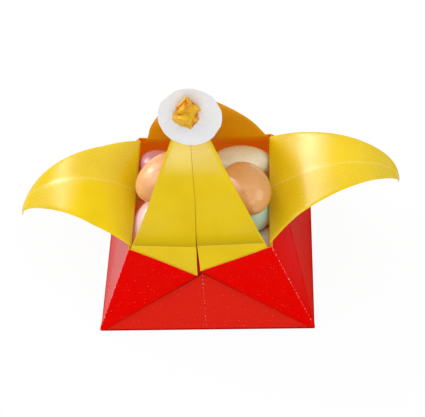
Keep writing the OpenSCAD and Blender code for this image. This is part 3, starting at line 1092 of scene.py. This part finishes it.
@dataclass
class CutDisc:
    """White disc cut by hand with scissors and glued to the front horn.

    Each snip of the scissors is the angle that it faces in degrees, and its depth as a share of the radius.
    """

    SNIPS = (
        (129, 0.03),
        (68, 0.012),
        (25, 0.02),
        (-33, 0.025),
        (-75, 0.0),
        (-118, 0.012),
        (-160, 0.012),
        (172, 0.01),
    )
    SNIP_REACH = 0.5

    sheet: FoldedSheet
    radius: float = 10.9
    share: float = 0.881
    aside: float = 0.6
    stand_off: float = 0.6
    tilt: float = math.radians(3.0)
    dish: float = 0.2
    dish_turn: float = 1.2
    sides: int = 96
    rings: int = 9

    def outline(self, turn: np.ndarray) -> np.ndarray:
        """Reach of the cut edge as a share of the radius, at an angle in radians."""
        reach = np.ones_like(turn)
        for degrees, depth in self.SNIPS:
            away = np.cos(turn - math.radians(degrees))
            straight = (1.0 - depth) / np.clip(away, self.SNIP_REACH, 1.0)
            reach = np.minimum(reach, np.where(away > self.SNIP_REACH, straight, 1.0))
        return reach

    def lie(self) -> Matrix:
        """Frame of the disc on the front horn, in metres."""
        plan = self.sheet.plan
        off = plan.level(Layer.FLAP) + plan.paper + self.stand_off
        return self.sheet.on_handle(self.share, self.aside, off) @ Matrix.Rotation(self.tilt, 4, "X")

    def build(self) -> bpy.types.Object:
        """Cuts the disc, lays it on the horn and gives it its thickness."""
        bpy.ops.object.select_all(action="DESELECT")
        bpy.ops.mesh.primitive_circle_add(vertices=self.sides, radius=self.radius, fill_type="TRIFAN")
        disc = bpy.context.object
        disc.name = disc.data.name = "cut_disc"
        bpy.ops.object.mode_set(mode="EDIT")
        bpy.ops.mesh.select_all(action="SELECT")
        bpy.ops.mesh.subdivide(number_cuts=self.rings)
        bpy.ops.object.mode_set(mode="OBJECT")
        place = places(disc.data)
        turn = np.arctan2(place[:, 1], place[:, 0])
        far = np.hypot(place[:, 0], place[:, 1]) / self.radius
        place[:, :2] *= 1.0 - far[:, None] * (1.0 - self.outline(turn)[:, None])
        place[:, 2] = self.dish * far**2 * (1.0 + np.cos(turn + self.dish_turn))
        disc.data.vertices.foreach_set("co", (place * MM).ravel())
        disc.data.transform(self.lie())
        disc.data.materials.append(WhitePaper().build())
        thicken(disc, self.sheet.plan.paper)
        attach(disc, BODY)
        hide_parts("paper_disc")
        return disc


@dataclass
class CrumpledWad:
    """Wad of amber paper, crumpled by hand into a roof over a folded lip and glued to the disc.

    Each corner is a place in millimetres and how red its creases are, which in the hollows is painted shade,
    and each facet names its corners.
    """

    RIM = {
        "apex": (0.2, 5.4, 1.2, 0.1),
        "shoulder": (-3.5, 1.0, 1.6, 0.2),
        "notch": (-3.0, -0.8, 1.2, 0.5),
        "lip_top": (-4.5, -1.3, 2.0, 0.1),
        "lip_end": (-4.8, -3.6, 1.2, 0.2),
        "heel": (-3.8, -4.6, 1.6, 0.2),
        "toe": (-1.1, -5.5, 2.6, 0.2),
        "tip": (1.2, -6.2, 3.0, 0.2),
        "gash": (2.0, -5.0, 2.4, 1.0),
        "hip": (3.9, -3.2, 1.8, 0.3),
        "waist": (3.7, -0.8, 2.4, 0.6),
        "spike": (4.7, 0.8, 2.2, 0.3),
        "eave": (2.7, 2.9, 1.8, 0.9),
    }
    TOP = {
        "roof": (0.4, 4.9, 3.6, 0.8),
        "gutter": (-2.8, 1.6, 3.2, 0.9),
        "ridge": (0.7, 3.1, 5.2, 0.6),
        "sill": (-2.0, 1.1, 4.4, 0.2),
        "brow": (1.5, 1.2, 5.2, 0.2),
        "cheek": (2.0, 3.2, 3.8, 0.5),
        "temple": (3.3, 1.2, 4.0, 0.3),
        "hollow": (3.0, -1.6, 2.6, 1.0),
        "valley": (0.4, 0.3, 4.2, 0.5),
        "cleft": (-2.6, -0.6, 2.8, 0.7),
        "lip": (-1.7, -1.3, 4.9, 0.1),
        "lip_front": (-4.2, -1.7, 3.2, 0.1),
        "crown": (0.4, -1.3, 5.4, 0.1),
        "flank": (2.0, -1.1, 4.8, 0.3),
        "belly": (-1.1, -3.1, 4.4, 0.1),
        "chin": (1.1, -4.2, 4.2, 0.2),
    }
    FACETS = (
        "apex roof gutter shoulder", "roof ridge sill gutter", "ridge brow valley sill",
        "apex cheek roof", "apex eave cheek", "roof cheek ridge", "eave spike temple cheek",
        "ridge cheek temple brow", "spike waist hollow temple", "brow temple hollow flank",
        "valley brow flank crown", "sill valley cleft", "gutter sill cleft",
        "shoulder gutter cleft notch", "cleft valley crown lip", "cleft lip lip_front lip_top",
        "notch cleft lip_top", "lip_front lip belly heel", "lip_top lip_front lip_end",
        "lip_end lip_front heel", "lip crown chin belly", "flank hollow hip", "waist hip hollow",
        "flank hip gash", "flank gash chin", "crown flank chin", "heel belly toe", "belly chin tip toe",
        "chin gash tip",
    )
    CRINKLES = (1.1, 1.9, 3.1)
    CRINKLE_DEPTH = 0.16
    FOOT_SHARE = 0.8
    # Redness of the foot under the wad, a painted shade.
    FOOT_REDNESS = 0.5
    TONE_STEP = 0.37

    sheet: FoldedSheet
    disc: CutDisc
    place: tuple[float, float] = (-0.8, 3.5)
    glue: float = 0.1
    stretch: tuple[float, float] = (1.07, 1.02)
    smooth_angle: float = math.radians(18.0)
    cuts: int = 7
    seed: int = 5

    def facet_mesh(self) -> bpy.types.Mesh:
        """Makes the wad's facets, and a narrower foot under them."""
        corners = {**self.RIM, **self.TOP}
        names = list(corners)
        spots = [corners[name][:3] for name in names]
        spots += [(self.FOOT_SHARE * x, self.FOOT_SHARE * y, 0.0) for x, y, _, _ in self.RIM.values()]
        faces = [[names.index(name) for name in facet.split()] for facet in self.FACETS]
        round_rim = len(self.RIM)
        first = len(names)
        for i in range(round_rim):
            j = (i + 1) % round_rim
            faces.append([i, j, first + j, first + i])
        faces.append([first + i for i in range(round_rim)])
        mesh = bpy.data.meshes.new("crumpled_wad")
        mesh.from_pydata([tuple(c * MM for c in spot) for spot in spots], [], faces)
        redness = [corners[name][3] for name in names] + [self.FOOT_REDNESS] * round_rim
        mesh.attributes.new("crease", "FLOAT", "POINT").data.foreach_set("value", redness)
        tones = [(self.TONE_STEP * i) % 1.0 for i in range(len(faces))]
        mesh.attributes.new("facet", "FLOAT", "FACE").data.foreach_set("value", tones)
        return mesh

    def build(self) -> bpy.types.Object:
        """Makes the wad, crinkles its facets and sets it on the disc."""
        bpy.ops.object.select_all(action="DESELECT")
        wad = bpy.data.objects.new("crumpled_wad", self.facet_mesh())
        bpy.context.scene.collection.objects.link(wad)
        wad.select_set(True)
        bpy.context.view_layer.objects.active = wad
        sharp = len(wad.data.vertices)
        bpy.ops.object.mode_set(mode="EDIT")
        bpy.ops.mesh.select_all(action="SELECT")
        bpy.ops.mesh.poke()
        bpy.ops.object.mode_set(mode="OBJECT")
        crease = wad.data.attributes["crease"].data
        for i in range(sharp, len(crease)):
            crease[i].value = 0.0
        bpy.ops.object.mode_set(mode="EDIT")
        bpy.ops.mesh.select_all(action="SELECT")
        bpy.ops.mesh.subdivide(number_cuts=self.cuts)
        bpy.ops.mesh.normals_make_consistent(inside=False)
        bpy.ops.object.mode_set(mode="OBJECT")
        place = places(wad.data) / MM
        rng = np.random.default_rng(self.seed)
        for scale in self.CRINKLES:
            wave = np.sin(place @ rng.normal(scale=scale, size=(3, 3)) + rng.uniform(0.0, 6.0, 3))
            place += self.CRINKLE_DEPTH / scale * wave * smooth(place[:, 2:])
        wad.data.vertices.foreach_set("co", (place * MM).ravel())
        aside = Matrix.Translation(Vector((*self.place, self.sheet.plan.paper + self.glue)) * MM)
        wad.data.transform(self.disc.lie() @ aside @ Matrix.Diagonal((*self.stretch, 1.0, 1.0)))
        wad.data.materials.append(AmberPaper().build())
        bpy.ops.object.shade_smooth_by_angle(angle=self.smooth_angle)
        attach(wad, BODY)
        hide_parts("paper_wad")
        return wad


@dataclass
class SugaredAlmonds:
    """The almonds in the box, each in the tone of its slot, or in a lighter or darker copy of a tone as
    painted light and shade.
    """

    TONES = {
        "sugar_pink": (0.8, 0.39, 0.42),
        "sugar_peach": (0.74, 0.37, 0.12),
        "sugar_cream": (0.82, 0.76, 0.55),
        "sugar_mint": (0.6, 0.92, 0.78),
        "sugar_white": (0.82, 0.84, 0.82),
    }
    # Copies of the slot tones, lighter for three almonds and darker for the back pink one: painted light and
    # shade.
    PAINTED_LIGHT_TONES = {
        "almond_pink_front": (0.97, 0.68, 0.71),
        "almond_pink_back": (0.6, 0.22, 0.25),
        "almond_peach_left": (0.86, 0.43, 0.16),
        "almond_middle_2": (0.9, 0.4, 0.12),
    }

    nodes: dict[str, bpy.types.Object]
    slots: dict[str, str]

    def dress(self) -> int:
        """Gives every almond its sugar shell and returns how many there are."""
        tones = {**self.TONES, **self.PAINTED_LIGHT_TONES}
        shells = {name: SugarShell(name, colour).build() for name, colour in tones.items()}
        almonds = [name for name in self.nodes if name.startswith("almond_")]
        for name in almonds:
            mesh = self.nodes[name].data
            mesh.materials.clear()
            mesh.materials.append(shells.get(name, shells[self.slots[name]]))
        return len(almonds)


@dataclass(frozen=True)
class Lamp:
    """A soft lamp: where it stands seen from the box, in degrees and metres, its size and its watts."""

    AIM = Vector((0.0, 0.0, 0.04))

    name: str
    azimuth: float
    elevation: float
    distance: float
    width: float
    height: float
    power: float

    def build(self) -> None:
        """Makes the lamp and aims it at the box."""
        light = bpy.data.lights.new(self.name, "AREA")
        light.shape = "RECTANGLE"
        light.size = self.width
        light.size_y = self.height
        light.energy = self.power
        lamp = bpy.data.objects.new(self.name, light)
        away = towards(self.azimuth, self.elevation)
        lamp.location = away * self.distance + self.AIM
        lamp.rotation_euler = (-away).to_track_quat("-Z", "Y").to_euler()
        bpy.context.scene.collection.objects.link(lamp)


@dataclass
class Studio:
    """Pale floor, soft light and the camera, which stands where the photograph was taken from."""

    LAMPS = (
        Lamp("window", -131.0, 33.0, 1.2, 0.64, 0.76, 4.6),
        Lamp("window_pane", -131.0, 30.0, 1.2, 0.14, 0.34, 1.3),
        Lamp("front_window", -4.0, 4.0, 1.2, 0.7, 0.1, 1.8),
        Lamp("front_fill", 0.0, 50.0, 1.2, 0.5, 0.5, 1.1),
        Lamp("left_fill", -95.0, 60.0, 1.0, 0.7, 0.7, 2.5),
        Lamp("right_fill", 80.0, 52.0, 1.2, 0.8, 0.8, 3.8),
        Lamp("ceiling", 10.0, 84.0, 1.0, 1.2, 1.2, 2.2),
    )

    yaw: float = 8.64
    elevation: float = 55.14
    roll: float = math.radians(-8.39)
    distance: float = 387.25
    focal_px: float = 987.87
    image_px: float = 425.0
    sensor: float = 36.0
    target: tuple[float, float, float] = (2.82, 0.0, 22.25)
    sky: float = 0.44
    floor_size: float = 40.0
    floor_height: float = -0.0004
    floor_colour: Colour = (0.85, 0.85, 0.85)
    floor_white: float = 0.94

    def lay_floor(self) -> None:
        """Makes the floor, white to the camera but for a faint shadow."""
        bpy.ops.object.select_all(action="DESELECT")
        bpy.ops.mesh.primitive_plane_add(size=self.floor_size, location=(0.0, 0.0, self.floor_height))
        floor = bpy.context.object
        floor.name = "floor"
        sheet = NodeSheet("floor")
        sheet.set(Base_Color=(*self.floor_colour, 1.0), Roughness=0.9, Specular_IOR_Level=0.0)
        rays = sheet.node("ShaderNodeLightPath")
        seen = sheet.math("MAXIMUM", rays.outputs["Is Camera Ray"], rays.outputs["Is Glossy Ray"])
        seen = sheet.math("MAXIMUM", seen, rays.outputs["Is Transmission Ray"])
        white = sheet.node("ShaderNodeEmission")
        blend = sheet.node("ShaderNodeMixShader")
        out = sheet.tree.nodes["Material Output"]
        sheet.feed(blend.inputs[0], sheet.times(seen, self.floor_white))
        sheet.feed(blend.inputs[1], sheet.shader.outputs[0])
        sheet.feed(blend.inputs[2], white.outputs[0])
        sheet.feed(out.inputs["Surface"], blend.outputs[0])
        floor.data.materials.append(sheet.material)

    def light(self) -> None:
        """Makes the sky and the lamps."""
        world = bpy.data.worlds.new("soft_sky")
        bpy.context.scene.world = world
        world.use_nodes = True
        sky = world.node_tree.nodes["Background"]
        sky.inputs["Color"].default_value = (1.0, 1.0, 1.0, 1.0)
        sky.inputs["Strength"].default_value = self.sky
        for lamp in self.LAMPS:
            lamp.build()

    def aim(self) -> None:
        """Makes the camera at the photograph's place."""
        turn = math.radians(self.yaw)
        back = towards(self.yaw, self.elevation)
        right = Vector((math.cos(turn), math.sin(turn), 0.0))
        up = back.cross(right)
        rolled_right = right * math.cos(self.roll) + up * math.sin(self.roll)
        rolled_up = up * math.cos(self.roll) - right * math.sin(self.roll)
        data = bpy.data.cameras.new("camera")
        data.sensor_width = self.sensor
        data.lens = self.focal_px * data.sensor_width / self.image_px
        data.clip_start = 0.01
        camera = bpy.data.objects.new("camera", data)
        axes = Matrix((rolled_right, rolled_up, back)).transposed().to_4x4()
        camera.matrix_world = Matrix.Translation((Vector(self.target) + back * self.distance) * MM) @ axes
        bpy.context.scene.collection.objects.link(camera)
        bpy.context.scene.camera = camera

    def build(self) -> None:
        """Sets the stage."""
        self.lay_floor()
        self.light()
        self.aim()
        bpy.context.scene.view_settings.view_transform = "Standard"


def main() -> None:
    """Builds the basket's pieces in order and the studio round them."""
    logging.basicConfig(level=logging.INFO, format="%(name)s: %(message)s")
    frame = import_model()
    bpy.ops.object.select_all(action="DESELECT")
    slots = {part["node"]: part["material_slot"] for part in frame["record"]["subparts"]}
    sheet = FoldedSheet(FoldPlan())
    disc = CutDisc(sheet)
    for piece in (sheet.build(), disc.build(), CrumpledWad(sheet, disc).build()):
        LOG.info("%s: %d faces", piece.name, len(piece.data.polygons))
    LOG.info("almonds dressed: %d", SugaredAlmonds(frame["nodes"], slots).dress())
    Studio().build()


if __name__ == "__main__":
    main()
